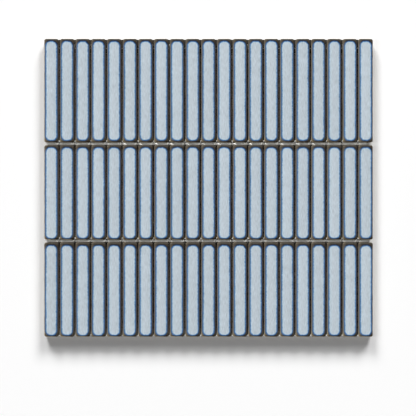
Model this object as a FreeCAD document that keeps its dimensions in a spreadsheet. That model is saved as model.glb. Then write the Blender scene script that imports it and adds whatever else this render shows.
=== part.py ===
import FreeCAD, Part
import os

import Sketcher

# A sheet of finger mosaic: slim glazed ceramic fingers laid side by side in columns of three,
# held together by a net of glass fibre yarns glued across their backs.
# The sheet lies flat with its glazed faces up. X runs across the fingers, Y along them, and
# the origin is under the middle of the sheet, on the surface that it lies on. Millimetres.

doc = FreeCAD.newDocument("FingerMosaic")

# Driving dimensions: alias, value, what it measures
DIMENSIONS = [
    ("columns", 21, "fingers side by side in a row"),
    ("finger_width", 12.8, "one finger, across its sides"),
    ("finger_length", 84.0, "a finger of the middle and bottom rows"),
    ("top_finger_length", 92.2, "a finger of the top row"),
    ("column_joint", 1.2, "open joint between neighbouring fingers"),
    ("row_joint", 2.6, "open joint between the ends of two rows"),
    ("finger_height", 6.5, "back to the crown of the glazed face"),
    ("crown_rise", 0.3, "how far the face arches up across the finger's whole width"),
    ("shoulder_bevel", 1.2, "slope from the sides up to the face, all round"),
    ("brow_bevel", 0.7, "flatter slope between the shoulder and the face"),
    ("corner_bevel", 1.2, "upright corners, seen from above"),
    ("taper_height", 2.4, "lower band of the sides, which draws in towards the back"),
    ("taper_inset", 0.5, "how far that band draws in"),
    ("groove_width", 1.4, "keying groove in the back"),
    ("groove_depth", 0.5, "keying groove, from the back"),
    ("groove_spacing", 5.2, "between the middles of the two keying grooves"),
    ("groove_land", 6.0, "plain back between a groove's end and the finger's end"),
    ("mesh_cell", 5.0, "spacing of the net's yarns, both ways"),
    ("yarn_width", 0.9, "one flat yarn of the net"),
    ("yarn_thickness", 0.25, "one flat yarn of the net"),
    ("mesh_margin", 4.0, "from the outer fingers' edges in to the net's cut edge"),
]

sheet = doc.addObject("Spreadsheet::Sheet", "Dimensions")
for row, (alias, value, note) in enumerate(DIMENSIONS, start=1):
    sheet.set(f"A{row}", alias)
    sheet.set(f"B{row}", str(value))
    sheet.set(f"C{row}", note)
    sheet.setAlias(f"B{row}", alias)
doc.recompute()

# Expressions that several features share
COLUMN_PITCH = "(Dimensions.finger_width + Dimensions.column_joint)"
SHEET_WIDTH = f"(Dimensions.columns * {COLUMN_PITCH} - Dimensions.column_joint)"
SHEET_LENGTH = (
    "(Dimensions.top_finger_length + 2 * Dimensions.finger_length"
    " + 2 * Dimensions.row_joint)"
)
MESH_WIDTH = f"({SHEET_WIDTH} - 2 * Dimensions.mesh_margin)"
MESH_LENGTH = f"({SHEET_LENGTH} - 2 * Dimensions.mesh_margin)"
MESH_THICKNESS = "(2 * Dimensions.yarn_thickness)"
CROWN_RADIUS = (
    "((Dimensions.finger_width ^ 2 / 4 + Dimensions.crown_rise ^ 2)"
    " / (2 * Dimensions.crown_rise))"
)

# How far the crown's cut reaches past the finger, so that it ends flush with no side
OVERRUN = 1.0

# Lengths closer than this count as equal when edges are picked
NEAR = 1e-4


def plane(body, role):
    return next(feature for feature in body.Origin.OriginFeatures if feature.Role == role)


def sketch_on(body, name, role):
    sketch = body.newObject("Sketcher::SketchObject", f"{body.Name}_{name}")
    sketch.AttachmentSupport = (plane(body, role), [""])
    sketch.MapMode = "FlatFace"
    return sketch


def bind(thing, **expressions):
    """Sets properties by expression. An underscore pair in a name stands for a dot."""
    for name, expression in expressions.items():
        thing.setExpression(name.replace("__", "."), expression)


def drive(sketch, kind, places, value, expression):
    """Adds a dimension that starts at a value and is then set by an expression."""
    index = sketch.addConstraint(Sketcher.Constraint(kind, *places, value))
    sketch.setExpression(f"Constraints[{index}]", expression)


def draw_loop(sketch, elements):
    """Adds lines and arcs, and joins the end of each to the start of the next."""
    for element in elements:
        sketch.addGeometry(element)
    for index in range(len(elements)):
        following = (index + 1) % len(elements)
        sketch.addConstraint(Sketcher.Constraint("Coincident", index, 2, following, 1))


def lines(points):
    """The straight lines that join the points in turn."""
    return [Part.LineSegment(start, end) for start, end in zip(points, points[1:])]


def rectangle(body, name, width, length):
    """A sketch of a rectangle about the origin, seen from above, sized by two expressions."""
    sketch = sketch_on(body, name, "XY_Plane")
    corners = [FreeCAD.Vector(x, y, 0) for x, y in ((-1, -1), (1, -1), (1, 1), (-1, 1))]
    draw_loop(sketch, lines(corners + corners[:1]))
    bottom, right, top, left = range(4)
    for side in (bottom, top):
        sketch.addConstraint(Sketcher.Constraint("Horizontal", side))
    for side in (right, left):
        sketch.addConstraint(Sketcher.Constraint("Vertical", side))
    sketch.addConstraint(Sketcher.Constraint("Symmetric", bottom, 1, right, 2, -1, 1))
    drive(sketch, "DistanceX", (bottom, 1, bottom, 2), 2, width)
    drive(sketch, "DistanceY", (right, 1, right, 2), 2, length)
    return sketch


def finger_plan(body, length):
    """A sketch of the finger from above: a rectangle about the origin with sloped corners."""
    sketch = sketch_on(body, "plan", "XY_Plane")
    half_x = sheet.finger_width / 2
    half_y = sheet.finger_length / 2
    cut = sheet.corner_bevel
    quarter = [(half_x - cut, -half_y), (half_x, cut - half_y)]
    right_half = quarter + [(x, -y) for x, y in reversed(quarter)]
    outline = right_half + [(-x, -y) for x, y in right_half]
    points = [FreeCAD.Vector(x, y, 0) for x, y in outline]
    draw_loop(sketch, lines(points + points[:1]))
    right, top, left, bottom = 1, 3, 5, 7
    for side, opposite in ((right, left), (top, bottom)):
        for end in (1, 2):
            sketch.addConstraint(Sketcher.Constraint("Symmetric", side, end, opposite, end, -1, 1))
    sketch.addConstraint(Sketcher.Constraint("Symmetric", right, 1, right, 2, -1))
    sketch.addConstraint(Sketcher.Constraint("Symmetric", top, 1, top, 2, -2))
    drive(sketch, "DistanceX", (left, 1, right, 1), 2 * half_x, "Dimensions.finger_width")
    drive(sketch, "DistanceY", (bottom, 1, top, 1), 2 * half_y, length)
    drive(sketch, "DistanceX", (bottom, 2, right, 1), cut, "Dimensions.corner_bevel")
    drive(sketch, "DistanceY", (bottom, 2, right, 1), cut, "Dimensions.corner_bevel")
    bind(sketch, AttachmentOffset__Base__z="Dimensions.taper_height")
    return sketch


def add_blank(body, length):
    """The pressed block: straight sides on a foot that draws in towards the back."""
    plan = finger_plan(body, length)
    block = body.newObject("PartDesign::Pad", f"{body.Name}_block")
    block.Profile = plan
    bind(block, Length="Dimensions.finger_height - Dimensions.taper_height")
    foot = body.newObject("PartDesign::Pad", f"{body.Name}_foot")
    foot.Profile = plan
    foot.Reversed = True
    bind(foot, Length="Dimensions.taper_height",
         TaperAngle="-atan(Dimensions.taper_inset / Dimensions.taper_height)")
    doc.recompute()


def bevel_face(body, name, size):
    """Slopes the edges round the top of the body as it is so far."""
    base = body.Tip
    rim = [
        f"Edge{number}" for number, edge in enumerate(base.Shape.Edges, start=1)
        if edge.BoundBox.ZMin > sheet.finger_height - NEAR
    ]
    slope = body.newObject("PartDesign::Chamfer", f"{body.Name}_{name}")
    slope.Base = (base, rim)
    bind(slope, Size=size)
    doc.recompute()


def crown_profile(body):
    """What is cut away over the face: a shallow arch with a flat lid, wider than the finger."""
    profile = sketch_on(body, "crown_profile", "XZ_Plane")
    top = sheet.finger_height
    half_width = sheet.finger_width / 2
    radius = (half_width ** 2 + sheet.crown_rise ** 2) / (2 * sheet.crown_rise)
    reach = half_width + OVERRUN
    low = top - radius + (radius ** 2 - reach ** 2) ** 0.5
    high = top + OVERRUN
    right = FreeCAD.Vector(reach, low, 0)
    crest = FreeCAD.Vector(0, top, 0)
    left = FreeCAD.Vector(-reach, low, 0)
    over_left = FreeCAD.Vector(-reach, high, 0)
    over_right = FreeCAD.Vector(reach, high, 0)
    draw_loop(profile, [Part.Arc(right, crest, left)] + lines([left, over_left, over_right, right]))
    arch, left_side, lid, right_side = range(4)
    profile.addConstraint(Sketcher.Constraint("Vertical", left_side))
    profile.addConstraint(Sketcher.Constraint("Vertical", right_side))
    profile.addConstraint(Sketcher.Constraint("PointOnObject", arch, 3, -2))
    profile.addConstraint(Sketcher.Constraint("Symmetric", lid, 1, lid, 2, -2))
    drive(profile, "Radius", (arch,), radius, CROWN_RADIUS)
    drive(profile, "DistanceY", (arch, 3, -1, 1), radius - top,
          f"{CROWN_RADIUS} - Dimensions.finger_height")
    drive(profile, "DistanceX", (lid, 1, lid, 2), 2 * reach,
          f"Dimensions.finger_width + {2 * OVERRUN}")
    drive(profile, "DistanceY", (-1, 1, lid, 1), high, f"Dimensions.finger_height + {OVERRUN}")
    return profile


def add_crown(body):
    """Cuts the face to a shallow arch across the finger."""
    arching = body.newObject("PartDesign::Pocket", f"{body.Name}_crown")
    arching.Profile = crown_profile(body)
    arching.Type = "ThroughAll"
    arching.SideType = "Symmetric"
    doc.recompute()


def add_grooves(body, length):
    """Two grooves along the back, which key the finger to its adhesive."""
    plan = rectangle(
        body, "groove_plan", "Dimensions.groove_width", f"{length} - 2 * Dimensions.groove_land")
    bind(plan, AttachmentOffset__Base__x="Dimensions.groove_spacing / 2")
    groove = body.newObject("PartDesign::Pocket", f"{body.Name}_groove")
    groove.Profile = plan
    groove.Reversed = True
    bind(groove, Length="Dimensions.groove_depth")
    doc.recompute()
    pair = body.newObject("PartDesign::Mirrored", f"{body.Name}_groove_pair")
    pair.Originals = [groove]
    pair.MirrorPlane = (plane(body, "YZ_Plane"), [""])
    body.Tip = pair
    doc.recompute()


def finger(name, length):
    """One pressed and glazed finger, its middle over the origin and its back at height 0."""
    body = doc.addObject("PartDesign::Body", name)
    add_blank(body, length)
    bevel_face(body, "shoulders", "Dimensions.shoulder_bevel")
    bevel_face(body, "brow", "Dimensions.brow_bevel")
    add_crown(body)
    add_grooves(body, length)
    return body


def yarn_layer(name, width, length, run, axis, height):
    """Parallel flat yarns: one passes over the origin, and as many as fit lie on either side."""
    body = doc.addObject("PartDesign::Body", name)
    one_side = f"floor(({run} - Dimensions.yarn_width) / (2 * Dimensions.mesh_cell))"
    count = f"(2 * {one_side} + 1)"
    span = f"(({count} - 1) * Dimensions.mesh_cell)"
    plan = rectangle(body, "plan", width, length)
    bind(plan, AttachmentOffset__Base__z=height)
    plan.setExpression(f"AttachmentOffset.Base.{axis}", f"-{span} / 2")
    yarn = body.newObject("PartDesign::Pad", f"{name}_first")
    yarn.Profile = plan
    bind(yarn, Length="Dimensions.yarn_thickness")
    doc.recompute()
    layer = body.newObject("PartDesign::LinearPattern", f"{name}_layer")
    layer.Originals = [yarn]
    layer.Direction = (plane(body, f"{axis.upper()}_Axis"), [""])
    bind(layer, Length=span, Occurrences=count)
    body.Tip = layer
    return body


def backing_net():
    """Two layers of yarns, glued where they cross. The second carries the fingers."""
    return [
        yarn_layer("mesh_weft_yarns", MESH_WIDTH, "Dimensions.yarn_width", MESH_LENGTH, "y", "0"),
        yarn_layer("mesh_warp_yarns", "Dimensions.yarn_width", MESH_LENGTH, MESH_WIDTH, "x",
                   "Dimensions.yarn_thickness"),
    ]


def finger_rows():
    """The three fingers of a column, end to end along Y. The last is the middle one again."""
    top = finger("top_finger", "Dimensions.top_finger_length")
    middle = finger("middle_finger", "Dimensions.finger_length")
    bottom = doc.addObject("App::Link", "bottom_finger")
    bottom.LinkedObject = middle
    sheet_top = f"{SHEET_LENGTH} / 2"
    bottom_middle = f"Dimensions.finger_length / 2 - {sheet_top}"
    row_pitch = "(Dimensions.finger_length + Dimensions.row_joint)"
    bind(top, Placement__Base__y=f"{sheet_top} - Dimensions.top_finger_length / 2")
    bind(middle, Placement__Base__y=f"{bottom_middle} + {row_pitch}")
    bind(bottom, Placement__Base__y=bottom_middle)
    return [top, middle, bottom]


def finger_columns():
    """The columns, side by side along X, with their backs on the net."""
    rows = finger_rows()
    columns = []
    for number in range(int(sheet.columns)):
        column = doc.addObject("Part::Compound", f"finger_column_{number + 1:02d}")
        column.Links = rows
        bind(column,
             Placement__Base__x=f"({number} - (Dimensions.columns - 1) / 2) * {COLUMN_PITCH}",
             Placement__Base__z=MESH_THICKNESS)
        columns.append(column)
    return columns


parts = backing_net() + finger_columns()
doc.recompute()

for thing in doc.Objects:
    if {"Invalid", "Error"} & set(thing.State):
        raise RuntimeError(f"{thing.Label} failed: {thing.State}")
for part in parts:
    part.Label = part.Name
    if part.Shape.isNull() or not part.Shape.isValid():
        raise RuntimeError(f"{part.Label} has no valid shape")

os.makedirs("parts", exist_ok=True)
for part in parts:
    part.Shape.exportStep(f"parts/{part.Label}.step")
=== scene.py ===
"""A sheet of finger mosaic, dressed for its picture: sixty-three glazed porcelain fingers
in twenty-one columns, held by a woven glass-fibre net and beads of glue."""

import math
import random

import bpy
import numpy as np
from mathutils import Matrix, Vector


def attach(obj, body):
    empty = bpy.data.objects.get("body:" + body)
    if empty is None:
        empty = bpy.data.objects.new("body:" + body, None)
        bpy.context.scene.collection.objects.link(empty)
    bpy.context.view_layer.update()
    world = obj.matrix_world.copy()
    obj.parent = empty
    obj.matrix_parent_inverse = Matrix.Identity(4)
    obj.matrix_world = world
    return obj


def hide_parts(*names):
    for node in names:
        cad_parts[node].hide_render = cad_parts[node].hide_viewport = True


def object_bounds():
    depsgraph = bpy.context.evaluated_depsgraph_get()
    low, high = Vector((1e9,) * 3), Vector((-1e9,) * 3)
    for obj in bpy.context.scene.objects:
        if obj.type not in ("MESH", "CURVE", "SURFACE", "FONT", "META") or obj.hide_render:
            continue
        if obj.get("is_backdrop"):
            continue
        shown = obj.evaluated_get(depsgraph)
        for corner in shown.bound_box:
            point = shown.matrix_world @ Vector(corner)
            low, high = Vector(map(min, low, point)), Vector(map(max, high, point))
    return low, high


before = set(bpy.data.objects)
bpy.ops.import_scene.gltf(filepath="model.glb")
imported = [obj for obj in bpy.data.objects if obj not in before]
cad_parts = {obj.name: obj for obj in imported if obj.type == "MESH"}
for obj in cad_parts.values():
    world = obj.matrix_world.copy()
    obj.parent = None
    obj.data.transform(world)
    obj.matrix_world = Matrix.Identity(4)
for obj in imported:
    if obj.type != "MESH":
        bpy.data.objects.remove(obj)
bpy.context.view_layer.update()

# The sheet, in millimetres as in the solids: each row is its lower and upper end

MM = 0.001
COLUMNS = 21
COLUMN_PITCH = 14.0
HALF_WIDTH = 6.4
FINGER_ROWS = ((40.5, 132.7), (-46.1, 37.9), (-132.7, -48.7))
BACK = 0.5


def hex_colour(code):
    """A colour written as sRGB hex, turned to the linear values that Blender works in."""
    parts = [int(code[i:i + 2], 16) / 255 for i in (0, 2, 4)]
    linear = [c / 12.92 if c <= 0.04045 else ((c + 0.055) / 1.055) ** 2.4 for c in parts]
    return (*linear, 1.0)


def add(tree, kind, inputs=None, **settings):
    """Adds one node. Settings go on the node. Inputs go on its sockets: a value, a socket to link,
    or a node, whose first output is linked."""
    node = tree.nodes.new(kind)
    for name, value in settings.items():
        setattr(node, name, value)
    for key, value in (inputs or {}).items():
        if isinstance(value, bpy.types.Node):
            value = value.outputs[0]
        if isinstance(value, bpy.types.NodeSocket):
            tree.links.new(value, node.inputs[key])
        else:
            node.inputs[key].default_value = value
    return node


def new_material(name):
    """A material with an empty node tree, and that tree."""
    material = bpy.data.materials.new(name)
    material.use_nodes = True
    material.node_tree.nodes.clear()
    return material, material.node_tree


def place_in_mm(tree):
    """Where a point is on the sheet, in millimetres, so that patterns have real sizes."""
    where = add(tree, "ShaderNodeTexCoord").outputs["Object"]
    return add(tree, "ShaderNodeVectorMath", {0: where, "Scale": 1 / MM}, operation="SCALE")


def fill_ramp(ramp, stops):
    """Sets a colour ramp's stops from pairs of place and sRGB hex colour."""
    elements = ramp.color_ramp.elements
    while len(elements) < len(stops):
        elements.new(0.5)
    for element, (place, code) in zip(elements, stops):
        element.position = place
        element.color = hex_colour(code)


# Camera: straight down from a metre above the sheet, over the middle of the picture, in metres

PICTURE_WIDTH = 0.3702
PICTURE_MIDDLE = (-0.00044, -0.0180)
CAMERA_ABOVE = 1.0
SHEET_TOP = 0.007
camera_data = bpy.data.cameras.new("copy_stand_camera")
camera_data.sensor_width = 36.0
camera_data.lens = camera_data.sensor_width * CAMERA_ABOVE / PICTURE_WIDTH
camera = bpy.data.objects.new("copy_stand_camera", camera_data)
camera.location = (*PICTURE_MIDDLE, CAMERA_ABOVE + SHEET_TOP)
bpy.context.scene.collection.objects.link(camera)
bpy.context.scene.camera = camera


# Finger shapes. The corners widen on the rings further in, up to a share of the half width. The
# wall is pairs of inset and height, from the back's ring up to where the shoulder starts.

SIDE_STEPS = 28
END_STEPS = 4
CORNER_STEPS = 5
CORNER_RADIUS = 1.7
CORNER_GROWTH = 0.4
WIDEST_CORNER = 0.92
TOP = 6.5
CROWN = 0.3
SHOULDER = 1.3
SHOULDER_TURNS = (0, 18, 36, 54, 72)
CROWN_INSETS = (SHOULDER, 1.6, 2.6, 4.0, 5.5)
BACK_RING = 0.9
WALL = ((BACK_RING, 0.0), (0.6, 0.0), (0.5, 0.06), (0.44, 0.3), (0.12, 1.9), (0.02, 2.5), (0.0, 4.5))
SHARP_EDGE = math.radians(40)

# The two grooves of the back: their edges and floors across the finger, and the rows of points at
# which they start and stop. The floors start and stop a little further in than the edges.

GROOVE_EDGES = (-3.3, -1.9, 1.9, 3.3)
GROOVE_FLOOR = (-3.1, -2.1, 2.1, 3.1)
GROOVE_DEPTH = 0.5
GROOVE_LAND = 6.0
GROOVE_SLOPE = 0.2
GROOVE_ROWS = (2, SIDE_STEPS - 2)

# The long edges wave in three lengths. The waves only go inward of the outline, fade out over the
# inset below, and are still at the corners.

WAVE_LENGTHS = (9.0, 21.0, 45.0)
WAVE_SIZES = (0.02, 0.05)
WAVE_SET_BACK = 0.06
WAVE_FADE = 5.0
WAVE_END_POWER = 8


def finger_profile():
    """A finger's section from the middle of its back round to its crown, as steps of inset, height
    and how far below the crown: height holds for the wall, and the drop for the rolled shoulder."""
    steps = [(inset, height, None) for inset, height in WALL]
    for turn in SHOULDER_TURNS:
        angle = math.radians(turn)
        steps.append((SHOULDER * (1 - math.cos(angle)), None, SHOULDER * (1 - math.sin(angle))))
    steps += [(inset, None, 0.0) for inset in CROWN_INSETS]
    return steps


def ring(inset, half_length, side_places, wander):
    """One ring of a finger's outline, anticlockwise from its lower right, pushed in by wander."""
    across, along = HALF_WIDTH - inset, half_length - inset
    radius = min(CORNER_RADIUS + CORNER_GROWTH * inset, WIDEST_CORNER * across)
    straight, end = along - radius, across - radius
    quarter = [math.radians(90 * k / CORNER_STEPS) for k in range(1, CORNER_STEPS)]
    end_places = [1 - 2 * k / END_STEPS for k in range(END_STEPS + 1)]
    right = [(across + wander(1, f * straight, f), f * straight) for f in side_places]
    top = [(f * end, along) for f in end_places]
    left = [(-across - wander(-1, f * straight, f), f * straight) for f in reversed(side_places)]
    bottom = [(-f * end, -along) for f in end_places]
    corners = []
    centres = ((end, straight), (-end, straight), (-end, -straight), (end, -straight))
    for number, (x, y) in enumerate(centres):
        turns = [number * math.pi / 2 + q for q in quarter]
        corners.append([(x + radius * math.cos(t), y + radius * math.sin(t)) for t in turns])
    return right + corners[0] + top + corners[1] + left + corners[2] + bottom + corners[3]


def finger_mesh(half_length, draw):
    """Points of one finger about the middle of its back, how far each is in from the outline, and
    faces: rolled shoulders, a low crown, walls that draw in to the foot, and two grooves behind."""
    base = half_length - BACK_RING - (CORNER_RADIUS + CORNER_GROWTH * BACK_RING)
    groove_end = (half_length - GROOVE_LAND) / base
    first, last = GROOVE_ROWS
    side_places = [-1.0, -(1 + groove_end) / 2]
    side_places += list(np.linspace(-groove_end, groove_end, last - first + 1))
    side_places += [(1 + groove_end) / 2, 1.0]
    waves = [(length, draw.uniform(*WAVE_SIZES), draw.uniform(0, math.tau), draw.uniform(0, math.tau))
             for length in WAVE_LENGTHS]

    def wander(side, y, place):
        """How far a long edge is in at y. Place runs from -1 to 1 between its corners."""
        total = sum(size * math.sin(math.tau * y / length + (right if side > 0 else left))
                    for length, size, right, left in waves)
        return min(total - WAVE_SET_BACK, 0.0) * (1 - place ** WAVE_END_POWER)

    points, insets, faces = [], [], []
    profile = finger_profile()
    for inset, height, drop in profile:
        fade = max(0.0, 1 - inset / WAVE_FADE)
        for x, y in ring(inset, half_length, side_places, lambda s, y, f: fade * wander(s, y, f)):
            crown_height = TOP - CROWN * (x / HALF_WIDTH) ** 2
            points.append((x, y, height if drop is None else crown_height - drop))
            insets.append(inset)
    count = len(points) // len(profile)
    for level in range(len(profile) - 1):
        low, high = level * count, (level + 1) * count
        for i in range(count):
            after = (i + 1) % count
            faces.append((low + i, low + after, high + after, high + i))

    # Strips from side to side close the crown, with one face at each end
    rows = SIDE_STEPS
    left_start = (rows + 1) + (CORNER_STEPS - 1) + (END_STEPS + 1) + (CORNER_STEPS - 1)
    right_at = list(range(rows + 1))
    left_at = [left_start + rows - j for j in range(rows + 1)]
    crown = (len(profile) - 1) * count
    for j in range(rows):
        strip = (left_at[j], right_at[j], right_at[j + 1], left_at[j + 1])
        faces.append(tuple(crown + k for k in strip))
    faces.append(tuple(crown + k for k in [0, *range(left_at[0], count)]))
    faces.append(tuple(crown + k for k in [left_start, *range(rows, left_start)]))

    # The back is closed in the same way, and its strips 1 and 3 dip into the grooves
    edge, floor = {}, {}
    for j in range(rows + 1):
        y = points[right_at[j]][1]
        for k, x in enumerate(GROOVE_EDGES):
            edge[j, k] = len(points)
            points.append((x, y, 0.0))
        if first <= j <= last:
            slope = GROOVE_SLOPE if j == first else -GROOVE_SLOPE if j == last else 0.0
            for k, x in enumerate(GROOVE_FLOOR):
                floor[j, k] = len(points)
                points.append((x, y + slope, GROOVE_DEPTH))
    edges = range(len(GROOVE_EDGES))
    for j in range(rows):
        lines = [(left_at[j], left_at[j + 1])]
        lines += [(edge[j, k], edge[j + 1, k]) for k in edges]
        lines.append((right_at[j], right_at[j + 1]))
        for k, (one, other) in enumerate(zip(lines, lines[1:])):
            if k in (1, 3) and first <= j < last:
                a, b = k - 1, k
                faces.append((one[0], one[1], floor[j + 1, a], floor[j, a]))
                faces.append((floor[j, a], floor[j + 1, a], floor[j + 1, b], floor[j, b]))
                faces.append((floor[j, b], floor[j + 1, b], other[1], other[0]))
            else:
                faces.append((one[0], one[1], other[1], other[0]))
    for a, b in ((0, 1), (2, 3)):
        faces.append((edge[first, b], edge[first, a], floor[first, a], floor[first, b]))
        faces.append((edge[last, a], edge[last, b], floor[last, b], floor[last, a]))
    lower_round = [i % count for i in range(count, left_at[0], -1)]
    faces.append((left_at[0], *[edge[0, k] for k in edges], *lower_round))
    upper_round = range(left_start, rows, -1)
    faces.append((rows, *[edge[rows, k] for k in reversed(edges)], *upper_round))
    insets += [BACK_RING] * (len(points) - len(insets))
    return np.array(points), insets, faces


def make_piece(name, points, faces, material):
    """A smooth-shaded mesh object in metres, from points in millimetres."""
    mesh = bpy.data.meshes.new(name)
    mesh.from_pydata((np.asarray(points) * MM).tolist(), [], faces)
    mesh.polygons.foreach_set("use_smooth", [True] * len(mesh.polygons))
    mesh.set_sharp_from_angle(angle=SHARP_EDGE)
    mesh.materials.append(material)
    piece = bpy.data.objects.new(name, mesh)
    bpy.context.scene.collection.objects.link(piece)
    return piece


# Glaze colours from the rim inwards, as pairs of distance in mm and colour: a pale ramp, which lights the
# left edges as painted light, and a dark ramp, which darkens the upper ends and the right edges as
# painted shade

RIM_SPAN = 5.5
PALE_RIM = (
    (0.1, "7A7264"),
    (0.5, "6E6E72"),
    (0.9, "5C687A"),
    (1.3, "48658C"),
    (1.8, "4C74A2"),
    (2.05, "6A93B9"),
    (2.24, "92B2C9"),
    (2.38, "AAC2D1"),
    (2.56, "B8C9D4"),
    (3.0, "BBC8D1"),
    (RIM_SPAN, "BDC8D0"),
)
DARK_RIM = (
    (0.1, "383229"),
    (0.45, "202228"),
    (0.8, "202A3E"),
    (1.15, "2A446A"),
    (1.54, "416AA2"),
    (1.79, "6293C0"),
    (1.98, "8CAEC7"),
    (2.12, "A8C0D0"),
    (2.32, "B5C7D3"),
    (2.8, "BAC7D1"),
    (RIM_SPAN, "BDC8D0"),
)

# The glaze's rim is an oblong with this corner radius, drawn in from the lower and upper ends of
# each row's fingers by these lengths in mm, and it ripples, drifts and sways

GLAZE_CORNER = 5.6
GLAZE_DRAWS = ((0.2, 0.95), (-0.4, 0.75), (-0.1, 1.2))
RIPPLE, DRIFT, SWAY = 1.1, 0.42, 0.5
RIPPLES_PER_MM, DRIFTS_PER_MM, SWAYS_PER_MM = 0.6, 0.12, 0.025

# How far the rim goes from the pale ramp to the dark one, from 0 to 1: a middle value, and what each way
# that the rim faces adds. Pale at the left and dark at the right and the ends is painted light and shade.

MIDDLE_LEAN, SIDE_LEAN, UPPER_LEAN, END_LEAN = 0.33, 0.33, 0.25, 0.65

# How much lighter or darker the glaze is, as shares of its colour, and its patterns' scales. A
# streak is about a millimetre wide and eight times as long. The side share is for each mm to the
# right, and is painted shade: the glaze darkens towards the right as if lit from the left.

SHADE_START = 0.554
STREAK_SHARE, SPECKLE_SHARE, CLOUD_SHARE, TINT_SHARE, RIGHTWARD_SHADE_SHARE = 0.28, 0.4, 0.12, 0.06, -0.009
STREAK_LAY = (1.0, 0.13, 1.0)
STREAKS_PER_MM, SPECKLES_PER_MM, CLOUDS_PER_MM = 1.0, 2.0, 0.12

# The bare lip, a light tan line on the left and lower edges that is partly bare clay and partly painted
# light: how wide it is in mm where it faces left and where it faces down, less a start, how softly it
# ends, and the heights on the shoulder between which it sets in

BARE_SIDE, BARE_END, BARE_START = -0.35, -0.65, 0.18
BARE_BLUR = 0.15
LIP_FROM, LIP_FULL = 5.5, 5.9

# The walls: the heights between which stain takes over from glaze, and clay from stain. Both wander
# a little, and at the upper ends the dark glaze reaches further down the walls, as painted shade.

STAIN_FROM, STAIN_FULL = 6.3, 5.8
CLAY_FROM, CLAY_FULL = 5.3, 4.6
RUN_WANDER = 1.2
SHADED_END_RUN = 3.0

# The surface: satin on the glaze, rougher towards its rim, and dry where the clay is bare

SATIN_LEAST, SATIN_MOST = 0.48, 0.6
SATINS_PER_MM = 0.35
WORN_FROM, WORN_FULL = 2.2, 1.2
WORN_ROUGHER = 0.2
CLAY_ROUGHNESS = 0.85
GRAINS_PER_MM, PEELS_PER_MM = 2.2, 0.8
PEEL_DEPTH = 0.05


def nearest_rim(tree, place):
    """How far a point is out from the core of the glaze's oblong, and which way its rim faces
    there: sideways and upwards."""
    half_length = add(tree, "ShaderNodeSeparateXYZ", {0: place}).outputs["Z"]
    on_face = add(tree, "ShaderNodeVectorMath", {0: place, 1: (1.0, 1.0, 0.0)}, operation="MULTIPLY")
    core_end = add(tree, "ShaderNodeMath", {0: half_length, 1: GLAZE_CORNER}, operation="SUBTRACT")
    core = add(tree, "ShaderNodeCombineXYZ", {0: HALF_WIDTH - GLAZE_CORNER, 1: core_end})
    far_core = add(tree, "ShaderNodeVectorMath", {0: core, "Scale": -1.0}, operation="SCALE")
    held = add(tree, "ShaderNodeVectorMath", {0: on_face, 1: core}, operation="MINIMUM")
    held = add(tree, "ShaderNodeVectorMath", {0: held, 1: far_core}, operation="MAXIMUM")
    outward = add(tree, "ShaderNodeVectorMath", {0: on_face, 1: held}, operation="SUBTRACT")
    spread = add(tree, "ShaderNodeVectorMath", {0: outward}, operation="LENGTH").outputs["Value"]
    facing = add(tree, "ShaderNodeVectorMath", {0: outward}, operation="NORMALIZE")
    sideways, upwards, _ = add(tree, "ShaderNodeSeparateXYZ", {0: facing}).outputs
    return spread, sideways, upwards


def glaze_colour(tree, rim, sideways, upwards):
    """The glaze's colour by how far in from its rim a point is, pale at the left and dark at the upper
    end: painted light on the left edges and painted shade on the upper ends."""
    depth = add(tree, "ShaderNodeMath", {0: rim, 1: RIM_SPAN}, operation="DIVIDE")
    thin = add(tree, "ShaderNodeValToRGB", {0: depth})
    fill_ramp(thin, [(distance / RIM_SPAN, code) for distance, code in PALE_RIM])
    thick = add(tree, "ShaderNodeValToRGB", {0: depth})
    fill_ramp(thick, [(distance / RIM_SPAN, code) for distance, code in DARK_RIM])
    endways = add(tree, "ShaderNodeMath", {0: upwards}, operation="ABSOLUTE")
    lean = add(tree, "ShaderNodeMath", {0: sideways, 1: SIDE_LEAN, 2: MIDDLE_LEAN},
               operation="MULTIPLY_ADD")
    lean = add(tree, "ShaderNodeMath", {0: upwards, 1: UPPER_LEAN, 2: lean}, operation="MULTIPLY_ADD")
    lean = add(tree, "ShaderNodeMath", {0: endways, 1: END_LEAN, 2: lean},
               operation="MULTIPLY_ADD", use_clamp=True)
    return add(tree, "ShaderNodeMix", {0: lean, 6: thin, 7: thick}, data_type="RGBA").outputs[2]


def uneven(tree, glaze, in_mm, across, tint):
    """The glaze with what spraying and firing leave in it: streaks along the finger, speckle,
    clouds and a tint of each finger's own; and a slow darkening towards the right, which is painted
    shade as from a light at the left."""
    laid = add(tree, "ShaderNodeVectorMath", {0: in_mm, 1: STREAK_LAY}, operation="MULTIPLY")
    streaks = add(tree, "ShaderNodeTexNoise", {"Vector": laid, "Scale": STREAKS_PER_MM, "Detail": 2.0})
    speckle = add(tree, "ShaderNodeTexNoise", {"Vector": laid, "Scale": SPECKLES_PER_MM, "Detail": 1.0})
    clouds = add(tree, "ShaderNodeTexNoise", {"Vector": in_mm, "Scale": CLOUDS_PER_MM, "Detail": 3.0})
    shade = SHADE_START
    parts = ((streaks, STREAK_SHARE), (speckle, SPECKLE_SHARE), (clouds, CLOUD_SHARE),
             (tint, TINT_SHARE), (across, RIGHTWARD_SHADE_SHARE))
    for part, share in parts:
        shade = add(tree, "ShaderNodeMath", {0: part, 1: share, 2: shade}, operation="MULTIPLY_ADD")
    return add(tree, "ShaderNodeVectorMath", {0: glaze, "Scale": shade}, operation="SCALE")


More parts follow.
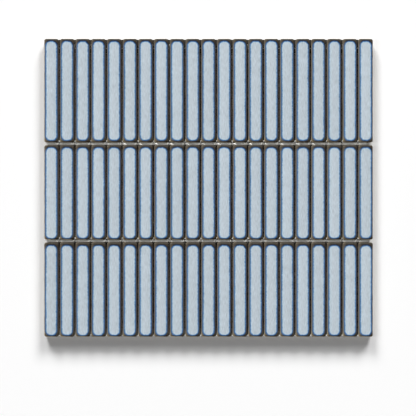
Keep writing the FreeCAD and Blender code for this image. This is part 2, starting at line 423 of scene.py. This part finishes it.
def lit_bare_lip(tree, sideways, upwards, inset, height):
    """How bare the shoulder's outer edge is: 1 on the lips of the left and lower edges, whose light tan
    is partly bare clay and partly painted light.
    """
    downwards = add(tree, "ShaderNodeMath", {0: upwards, 1: 0.0}, operation="MINIMUM")
    bare = add(tree, "ShaderNodeMath", {0: downwards, 1: BARE_END, 2: -BARE_START},
               operation="MULTIPLY_ADD")
    bare = add(tree, "ShaderNodeMath", {0: sideways, 1: BARE_SIDE, 2: bare}, operation="MULTIPLY_ADD")
    bare = add(tree, "ShaderNodeMath", {0: bare, 1: inset}, operation="SUBTRACT")
    bare = add(tree, "ShaderNodeMapRange",
               {"Value": bare, "From Min": -BARE_BLUR, "From Max": BARE_BLUR})
    on_lip = add(tree, "ShaderNodeMapRange",
                 {"Value": height, "From Min": LIP_FROM, "From Max": LIP_FULL})
    return add(tree, "ShaderNodeMath", {0: bare, 1: on_lip}, operation="MULTIPLY")


def down_the_wall(tree, drift, upwards, height):
    """How far stain has taken over from glaze, and clay from stain, down the walls."""
    run = add(tree, "ShaderNodeMath", {0: drift, 1: RUN_WANDER, 2: height}, operation="MULTIPLY_ADD")
    # Painted shade: at the upper ends the dark glaze reaches further down the walls
    shaded_end_run = add(tree, "ShaderNodeMath", {0: upwards, 1: SHADED_END_RUN, 2: run}, operation="MULTIPLY_ADD")
    run = add(tree, "ShaderNodeMath", {0: run, 1: shaded_end_run}, operation="MAXIMUM")
    stained = add(tree, "ShaderNodeMapRange",
                  {"Value": run, "From Min": STAIN_FROM, "From Max": STAIN_FULL})
    unglazed = add(tree, "ShaderNodeMapRange",
                   {"Value": run, "From Min": CLAY_FROM, "From Max": CLAY_FULL})
    return stained, unglazed


def glazed_porcelain():
    """Glazed porcelain: a satin blue-grey glaze that flows off the edges while it melts. Where it
    thins, the iron in it shows: light blue, then dark navy, and grey-brown on the very edge. The
    left edges are pale and the right edges darker, painted light and shade as from a light at the
    left; the upper ends are dark, painted shade, down their walls too; and the lips of the left and
    lower edges are a thin line of light tan, partly bare clay and partly painted light. The walls
    are stained grey-brown below the rim, and the body is dry grey clay."""
    material, tree = new_material("satin_glazed_porcelain")
    in_mm = place_in_mm(tree)
    height = add(tree, "ShaderNodeSeparateXYZ", {0: in_mm}).outputs["Z"]
    place = add(tree, "ShaderNodeAttribute", attribute_name="glaze_place").outputs["Vector"]
    across = add(tree, "ShaderNodeSeparateXYZ", {0: place}).outputs["X"]
    inset = add(tree, "ShaderNodeAttribute", attribute_name="edge_inset").outputs["Fac"]
    tint = add(tree, "ShaderNodeAttribute", attribute_name="finger_tint").outputs["Fac"]
    ripple = add(tree, "ShaderNodeTexNoise", {"Vector": in_mm, "Scale": RIPPLES_PER_MM, "Detail": 2.0})
    drift = add(tree, "ShaderNodeTexNoise", {"Vector": in_mm, "Scale": DRIFTS_PER_MM, "Detail": 2.0})
    sway = add(tree, "ShaderNodeTexNoise", {"Vector": in_mm, "Scale": SWAYS_PER_MM, "Detail": 0.0})
    grain = add(tree, "ShaderNodeTexNoise", {"Vector": in_mm, "Scale": GRAINS_PER_MM, "Detail": 4.0})

    spread, sideways, upwards = nearest_rim(tree, place)
    flow = -(RIPPLE + DRIFT + SWAY) / 2
    for wave, size in ((ripple, RIPPLE), (drift, DRIFT), (sway, SWAY)):
        flow = add(tree, "ShaderNodeMath", {0: wave, 1: size, 2: flow}, operation="MULTIPLY_ADD")
    rim = add(tree, "ShaderNodeMath", {0: GLAZE_CORNER, 1: spread}, operation="SUBTRACT")
    rim = add(tree, "ShaderNodeMath", {0: rim, 1: flow}, operation="ADD")
    glaze = uneven(tree, glaze_colour(tree, rim, sideways, upwards), in_mm, across, tint)

    # The lip's light tan on the left and lower edges: partly bare clay, partly painted light
    lip = add(tree, "ShaderNodeValToRGB", {0: grain})
    fill_ramp(lip, ((0.3, "C0AA86"), (0.7, "DCCAA6")))
    stain = add(tree, "ShaderNodeValToRGB", {0: ripple})
    fill_ramp(stain, ((0.35, "72695B"), (0.65, "8C8273")))
    clay = add(tree, "ShaderNodeValToRGB", {0: grain})
    fill_ramp(clay, ((0.3, "A39B8E"), (0.7, "BFB7A9")))
    bare = lit_bare_lip(tree, sideways, upwards, inset, height)
    stained, unglazed = down_the_wall(tree, drift, upwards, height)
    colour = add(tree, "ShaderNodeMix", {0: bare, 6: glaze, 7: lip}, data_type="RGBA").outputs[2]
    colour = add(tree, "ShaderNodeMix", {0: stained, 6: colour, 7: stain}, data_type="RGBA").outputs[2]
    colour = add(tree, "ShaderNodeMix", {0: unglazed, 6: colour, 7: clay}, data_type="RGBA").outputs[2]

    dry = add(tree, "ShaderNodeMath", {0: bare, 1: unglazed}, operation="MAXIMUM")
    polish = add(tree, "ShaderNodeTexNoise", {"Vector": in_mm, "Scale": SATINS_PER_MM, "Detail": 2.0})
    satin = add(tree, "ShaderNodeMapRange",
                {"Value": polish, "To Min": SATIN_LEAST, "To Max": SATIN_MOST})
    worn = add(tree, "ShaderNodeMapRange",
               {"Value": rim, "From Min": WORN_FROM, "From Max": WORN_FULL})
    worn = add(tree, "ShaderNodeMath", {0: worn, 1: WORN_ROUGHER, 2: satin}, operation="MULTIPLY_ADD")
    roughness = add(tree, "ShaderNodeMix", {0: dry, 2: worn, 3: CLAY_ROUGHNESS}, data_type="FLOAT")
    peel = add(tree, "ShaderNodeTexNoise", {"Vector": in_mm, "Scale": PEELS_PER_MM, "Detail": 2.0})
    relief = add(tree, "ShaderNodeMath", {0: grain, 1: dry, 2: peel}, operation="MULTIPLY_ADD")
    relief = add(tree, "ShaderNodeBump",
                 {"Height": relief, "Strength": 0.25, "Distance": PEEL_DEPTH * MM})
    shader = add(tree, "ShaderNodeBsdfPrincipled",
                 {"Base Color": colour, "Roughness": roughness, "Normal": relief, "IOR": 1.5,
                  "Specular IOR Level": 0.18})
    add(tree, "ShaderNodeOutputMaterial", {"Surface": shader})
    return material


# Each column's three fingers are one piece. Three values on their points tell the glaze where it
# is: its place on the glazed face with the face's half length, the inset, and the finger's tint.

porcelain = glazed_porcelain()
draw = random.Random(63)
for column in range(COLUMNS):
    middle = (column - (COLUMNS - 1) / 2) * COLUMN_PITCH
    points, faces, places, insets, tints = [], [], [], [], []
    for (low, high), (lower_draw, upper_draw) in zip(FINGER_ROWS, GLAZE_DRAWS):
        finger, inset, sides = finger_mesh((high - low) / 2, draw)
        start = sum(len(p) for p in points)
        faces += [tuple(start + i for i in face) for face in sides]
        points.append(finger + (middle, (low + high) / 2, BACK))
        place = finger + (0, (upper_draw - lower_draw) / 2, 0)
        place[:, 2] = (high - low - lower_draw - upper_draw) / 2
        places.append(place)
        insets += inset
        tints += [draw.random()] * len(finger)
    name = f"finger_column_{column + 1:02d}"
    piece = make_piece(f"glazed_fingers_{column + 1:02d}", np.concatenate(points), faces, porcelain)
    attribute = piece.data.attributes.new("glaze_place", "FLOAT_VECTOR", "POINT")
    attribute.data.foreach_set("vector", np.concatenate(places).astype(np.float32).ravel())
    for measure, values in (("edge_inset", insets), ("finger_tint", tints)):
        attribute = piece.data.attributes.new(measure, "FLOAT", "POINT")
        attribute.data.foreach_set("value", np.array(values, np.float32))
    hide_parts(name)
    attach(piece, "root")


# The net: a leno weave of coated glass-fibre yarn on a 5 mm mesh. Each warp is two strands that
# twist round each other and hold a flat weft between them. All the yarns wander a little.

MESH_CELL = 5.0
WEFTS = 51
WARPS = 57
WEFT_LINES = [MESH_CELL * (i - WEFTS // 2) for i in range(WEFTS)]
WARP_LINES = [MESH_CELL * (i - WARPS // 2) for i in range(WARPS)]
WEFT_REACH = 142.4
WARP_REACH = 128.7
NET_MIDDLE = 0.25
YARN_WANDER = 0.08
WEFT_HALF_WIDTH, WEFT_HALF_THICKNESS, WEFT_SIDES = 0.5, 0.1, 8
WEFT_WANDER_LENGTH, WEFT_WAVE = 23.0, 0.02
STRAND_HALF_WIDTH, STRAND_HALF_THICKNESS, STRAND_SIDES = 0.2, 0.06, 5
STRAND_WANDER_LENGTH, STRAND_SPREAD, STRAND_RISE, STRAND_LAG = 27.0, 0.2, 0.19, 0.6
STRAND_STATIONS = 3 * WEFTS - 1
FILAMENTS_PER_MM, FILAMENT_STRETCH = 6.5, 0.15


def tube_faces(rings, sides):
    """Faces of a closed tube: the walls between its rings, and a cap at each end."""
    faces = []
    for j in range(rings - 1):
        low, high = j * sides, (j + 1) * sides
        for k in range(sides):
            after = (k + 1) % sides
            faces.append((low + k, low + after, high + after, high + k))
    faces.append(tuple(range(sides))[::-1])
    faces.append(tuple((rings - 1) * sides + k for k in range(sides)))
    return faces


def yarn(path, across, half_width, half_thickness, sides):
    """A closed flat yarn along a path of points; across is the unit vector over its width."""
    path = np.asarray(path)
    over = np.asarray(across) * half_width
    turns = [math.tau * k / sides for k in range(sides)]
    section = np.array([over * math.cos(t) + (0, 0, half_thickness * math.sin(t)) for t in turns])
    points = (path[:, None, :] + section[None, :, :]).reshape(-1, 3)
    return points, tube_faces(len(path), sides)


def gather(parts):
    """Joins several lists of points and faces into one."""
    points, faces, start = [], [], 0
    for some, sides in parts:
        points.append(some)
        faces += [tuple(start + i for i in face) for face in sides]
        start += len(some)
    return np.concatenate(points), faces


def coated_yarn(name, along_x):
    """Coated glass-fibre yarn: white filaments laid side by side under a thin milky coat, which
    gives fine lines along the yarn and a soft shine. Filaments are drawn 0.15 mm apart."""
    material, tree = new_material(name)
    if along_x:
        stretch = (FILAMENT_STRETCH, FILAMENTS_PER_MM, 1.0)
    else:
        stretch = (FILAMENTS_PER_MM, FILAMENT_STRETCH, 1.0)
    laid = add(tree, "ShaderNodeVectorMath", {0: place_in_mm(tree), 1: stretch}, operation="MULTIPLY")
    filaments = add(tree, "ShaderNodeTexNoise", {"Vector": laid, "Scale": 1.0, "Detail": 2.0})
    colour = add(tree, "ShaderNodeValToRGB", {0: filaments})
    fill_ramp(colour, ((0.3, "CDCDC6"), (0.65, "E8E8E3")))
    relief = add(tree, "ShaderNodeBump", {"Height": filaments, "Strength": 0.5, "Distance": 0.04 * MM})
    satin = add(tree, "ShaderNodeMapRange", {"Value": filaments, "To Min": 0.6, "To Max": 0.42})
    shader = add(tree, "ShaderNodeBsdfPrincipled",
                 {"Base Color": colour, "Roughness": satin, "Normal": relief, "IOR": 1.46})
    add(tree, "ShaderNodeOutputMaterial", {"Surface": shader})
    return material


wefts = []
weft_stations = np.arange(WARP_LINES[0], WARP_LINES[-1] + 1, MESH_CELL / 2)
for y in WEFT_LINES:
    sway = draw.uniform(0, math.tau)
    path = []
    for x in (-WEFT_REACH, *weft_stations, WEFT_REACH):
        path.append((x, y + YARN_WANDER * math.sin(x / WEFT_WANDER_LENGTH + sway),
                     NET_MIDDLE + WEFT_WAVE * math.cos(math.pi * x / MESH_CELL)))
    wefts.append(yarn(path, (0, 1, 0), WEFT_HALF_WIDTH, WEFT_HALF_THICKNESS, WEFT_SIDES))
weft_yarn = coated_yarn("coated_glass_fibre_weft", True)
weft_piece = make_piece("woven_weft_yarns", *gather(wefts), weft_yarn)
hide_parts("mesh_weft_yarns")
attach(weft_piece, "root")

warps = []
for x in WARP_LINES:
    sway = draw.uniform(0, math.tau)
    for way in (1, -1):
        path = []
        for y in np.linspace(-WARP_REACH, WARP_REACH, STRAND_STATIONS):
            twist = math.pi * y / MESH_CELL
            aside = way * STRAND_SPREAD * math.cos(twist)
            path.append((x + aside + YARN_WANDER * math.sin(y / STRAND_WANDER_LENGTH + sway), y,
                         NET_MIDDLE + way * STRAND_RISE * math.cos(twist - STRAND_LAG)))
        warps.append(yarn(path, (1, 0, 0), STRAND_HALF_WIDTH, STRAND_HALF_THICKNESS, STRAND_SIDES))
warp_yarn = coated_yarn("coated_glass_fibre_warp", False)
warp_piece = make_piece("twisted_warp_yarns", *gather(warps), warp_yarn)
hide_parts("mesh_warp_yarns")
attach(warp_piece, "root")


# Glue: it rose between the fingers when the sheet was pressed onto its net. A small bead fills the
# lower end of each column joint, an uneven ridge runs along each row joint, and large drops stand
# at crossings of the upper one. A bead's shape is pairs of height and size, as shares of the
# whole, and its shift and rise are from the crossing of the column joint with the row's lower end.

BEAD_SIDES = 14
GLUE_FOOT = 0.4
POST = ((0.0, 1.0), (0.8, 1.0), (0.9, 0.9), (0.96, 0.68), (1.0, 0.25))
DROP = ((0.0, 0.7), (0.3, 0.3), (0.75, 0.3), (0.84, 0.9), (0.9, 1.0), (0.96, 0.7), (1.0, 0.25))
SMALL_BEAD = {
    "shape": POST,
    "shift": 0.2,
    "rise": 1.0,
    "half_length": 0.75,
    "half_width": 0.5,
    "slant": 90,
    "top": 6.2,
}
LARGE_BEAD = {
    "shape": DROP,
    "shift": 2.7,
    "rise": -1.7,
    "half_length": 1.9,
    "half_width": 0.8,
    "slant": -22,
    "top": 6.35,
}
LARGE_BEAD_JOINTS = range(4, 17)
UPPER_JOINT = FINGER_ROWS[0][0]

# How much one bead differs from the next: lengths in mm, a share of its length, and degrees

SHIFT_SPREAD = (-0.1, 0.1)
RISE_SPREAD = (-0.15, 0.1)
LENGTH_SPREAD = (0.8, 1.1)
SLANT_SPREAD = (-6, 6)
TOP_SPREAD = (-0.5, 0.0)

# The ridges, as pairs of place and top. Their section is pairs of distance from the middle and
# share of the height. A ridge is lower at its ends and where it crosses a column joint.

GLUE_LINES = ((39.3, 5.85), (-47.3, 5.7))
GLUE_LINE_REACH = 143.5
LINE_STATIONS = 200
LINE_SECTION = ((-1.5, 0.0), (-1.3, 0.8), (-0.9, 0.95), (0.0, 1.0), (0.9, 0.97), (1.3, 0.85), (1.5, 0.0))
LINE_TOP_SPREAD = (-0.3, 0.2)
LINE_SHIFT_SPREAD = (-0.08, 0.08)
END_SHARE, GAIN_EACH_STATION = 0.5, 0.25
CROSSING_SHARE, GAIN_EACH_MM = 0.65, 0.15


def glue_bead(x, y, shape, half_length, half_width, slant, top):
    """An oval bead of glue with a rounded top, turned by slant as seen from above."""
    turns = [math.tau * k / BEAD_SIDES for k in range(BEAD_SIDES)]
    cos, sin = math.cos(math.radians(slant)), math.sin(math.radians(slant))
    points = []
    for share, size in shape:
        z = GLUE_FOOT + share * (top - GLUE_FOOT)
        for t in turns:
            a, b = size * half_length * math.cos(t), size * half_width * math.sin(t)
            points.append((x + a * cos - b * sin, y + a * sin + b * cos, z))
    return np.array(points), tube_faces(len(shape), BEAD_SIDES)


def bead_at(joint, row_end, kind):
    """A bead of one kind at a column joint's crossing with a row's lower end, each a little different."""
    x = (joint - (COLUMNS - 2) / 2) * COLUMN_PITCH + kind["shift"] + draw.uniform(*SHIFT_SPREAD)
    y = row_end + kind["rise"] + draw.uniform(*RISE_SPREAD)
    half_length = kind["half_length"] * draw.uniform(*LENGTH_SPREAD)
    slant = kind["slant"] + draw.uniform(*SLANT_SPREAD)
    top = kind["top"] + draw.uniform(*TOP_SPREAD)
    return glue_bead(x, y, kind["shape"], half_length, kind["half_width"], slant, top)


def glue_line(y, height):
    """A low ridge of glue along a row joint, a little uneven, that thins out at both ends."""
    points = []
    for number, x in enumerate(np.linspace(-GLUE_LINE_REACH, GLUE_LINE_REACH, LINE_STATIONS)):
        from_end = min(number, LINE_STATIONS - 1 - number)
        from_crossing = abs(x / COLUMN_PITCH % 1 - 0.5) * COLUMN_PITCH
        size = min(1.0, END_SHARE + GAIN_EACH_STATION * from_end,
                   CROSSING_SHARE + GAIN_EACH_MM * from_crossing)
        rise = size * (height - GLUE_FOOT + draw.uniform(*LINE_TOP_SPREAD))
        middle = y + draw.uniform(*LINE_SHIFT_SPREAD)
        points += [(x, middle + across, GLUE_FOOT + share * rise) for across, share in LINE_SECTION]
    return np.array(points), tube_faces(LINE_STATIONS, len(LINE_SECTION))


def dried_white_glue():
    """Dried white glue: a milky, smooth drop with a soft shine, a little yellower in places."""
    material, tree = new_material("dried_white_glue")
    clouding = add(tree, "ShaderNodeTexNoise", {"Vector": place_in_mm(tree), "Scale": 0.9, "Detail": 2.0})
    colour = add(tree, "ShaderNodeValToRGB", {0: clouding})
    fill_ramp(colour, ((0.35, "EAE8E0"), (0.65, "F7F7F4")))
    satin = add(tree, "ShaderNodeMapRange", {"Value": clouding, "To Min": 0.3, "To Max": 0.5})
    relief = add(tree, "ShaderNodeBump", {"Height": clouding, "Strength": 0.3, "Distance": 0.1 * MM})
    shader = add(tree, "ShaderNodeBsdfPrincipled",
                 {"Base Color": colour, "Roughness": satin, "Normal": relief, "IOR": 1.47})
    add(tree, "ShaderNodeOutputMaterial", {"Surface": shader})
    return material


glue = []
for joint in range(COLUMNS - 1):
    glue += [bead_at(joint, low, SMALL_BEAD) for low, high in FINGER_ROWS]
    if joint in LARGE_BEAD_JOINTS:
        glue.append(bead_at(joint, UPPER_JOINT, LARGE_BEAD))
glue += [glue_line(y, top) for y, top in GLUE_LINES]
glue_piece = make_piece("glue_beads", *gather(glue), dried_white_glue())
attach(glue_piece, "root")


# Floor: smooth white paper, with a strip of near-black card under the longer row's upper ends, hidden
# by the sheet: painted shade, a dark sheet that keeps the paper from shining through the open mouths
# of its joints

FLOOR_REACH = 12000.0
SHADE_CARD_REACH = (COLUMNS - 1) / 2 * COLUMN_PITCH + HALF_WIDTH
SHADE_CARD_LOW, SHADE_CARD_HIGH = 119.0, 132.8
FIBRES_PER_MM = 3.0


def matt_paper(name, low_code, high_code):
    """Matt paper: no shine, and a fine fibre grain 0.3 mm across that hardly shows."""
    material, tree = new_material(name)
    fibres = add(tree, "ShaderNodeTexNoise",
                 {"Vector": place_in_mm(tree), "Scale": FIBRES_PER_MM, "Detail": 3.0})
    tone = add(tree, "ShaderNodeValToRGB", {0: fibres})
    fill_ramp(tone, ((0.0, low_code), (1.0, high_code)))
    shader = add(tree, "ShaderNodeBsdfPrincipled",
                 {"Base Color": tone, "Roughness": 0.95, "Specular IOR Level": 0.0})
    add(tree, "ShaderNodeOutputMaterial", {"Surface": shader})
    return material


across_lines = (-FLOOR_REACH, -SHADE_CARD_REACH, SHADE_CARD_REACH, FLOOR_REACH)
along_lines = (-FLOOR_REACH, SHADE_CARD_LOW, SHADE_CARD_HIGH, FLOOR_REACH)
floor_points = [(x, y, 0) for y in along_lines for x in across_lines]
floor_faces = []
lines_across = len(across_lines)
for j in range(len(along_lines) - 1):
    for i in range(lines_across - 1):
        start = j * lines_across + i
        floor_faces.append((start, start + 1, start + 1 + lines_across, start + lines_across))
white_paper = matt_paper("white_floor_paper", "FDFDFD", "FFFFFF")
painted_shade_card = matt_paper("painted_shade_card", "32302E", "3A3836")
floor_piece = make_piece("floor", floor_points, floor_faces, white_paper)
floor_piece.data.materials.append(painted_shade_card)
# The middle face is the near-black card, painted shade under the joints' upper mouths
middle_face = len(floor_faces) // 2
floor_piece.data.polygons[middle_face].material_index = 1
floor_piece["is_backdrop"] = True


# Light: two softboxes beyond the sheet's upper edge, each a low part and a taller one, a strip
# at each side, a faint low one below the lower edge, and a studio that is white near the floor.
# Each lamp is its name, bearing, elevation, the angles that it spans, and its level.

LAMP_DISTANCE = 20.0
LAMPS = (
    ("low_softbox_left", -19, 17.6, 20, 11, 0.3),
    ("tall_softbox_left", -19, 24.5, 20, 22, 0.115),
    ("low_softbox_right", 22, 17.6, 20, 11, 0.3),
    ("tall_softbox_right", 22, 24.5, 20, 22, 0.115),
    ("strip_left", -90, 42, 6, 20, 0.118),
    ("strip_right", 90, 45, 6, 20, 0.059),
    ("low_lamp_below", 180, 22, 24, 8, 0.02),
)
STUDIO_WHITE_TO, STUDIO_DIM_FROM = 0.02, 0.07
STUDIO_WHITE, STUDIO_DIM = 1.0, 0.006


def softbox(name, bearing, elevation, across, upright, level):
    """An area lamp aimed at the sheet's middle. Its bearing, from +Y towards +X, its elevation and
    the angles that it spans are in degrees. Its level is the light that it puts on the floor, 1 for
    plain white."""
    turn, lift = math.radians(bearing), math.radians(elevation)
    lamp = bpy.data.lights.new(name, "AREA")
    lamp.shape = "RECTANGLE"
    lamp.size = 2 * LAMP_DISTANCE * math.tan(math.radians(across / 2))
    lamp.size_y = 2 * LAMP_DISTANCE * math.tan(math.radians(upright / 2))
    lamp.energy = level * (math.pi * LAMP_DISTANCE) ** 2 / math.sin(lift)
    box = bpy.data.objects.new(name, lamp)
    box.location = (LAMP_DISTANCE * math.sin(turn) * math.cos(lift),
                    LAMP_DISTANCE * math.cos(turn) * math.cos(lift),
                    LAMP_DISTANCE * math.sin(lift))
    box.rotation_mode = "QUATERNION"
    box.rotation_quaternion = box.location.to_track_quat("Z", "Y")
    box.visible_camera = False
    bpy.context.scene.collection.objects.link(box)


for lamp_settings in LAMPS:
    softbox(*lamp_settings)

world = bpy.data.worlds.new("pale_studio")
bpy.context.scene.world = world
world.use_nodes = True
sky = world.node_tree
direction = add(sky, "ShaderNodeTexCoord").outputs["Generated"]
way_up = add(sky, "ShaderNodeSeparateXYZ", {0: direction}).outputs["Z"]
studio = add(sky, "ShaderNodeMapRange",
             {"Value": way_up, "From Min": STUDIO_WHITE_TO, "From Max": STUDIO_DIM_FROM,
              "To Min": STUDIO_WHITE, "To Max": STUDIO_DIM})
sky.links.new(studio.outputs[0], sky.nodes["Background"].inputs["Strength"])
sky.nodes["Background"].inputs["Color"].default_value = (1.0, 1.0, 1.0, 1.0)

bpy.context.scene.view_settings.view_transform = "Standard"

low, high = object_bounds()
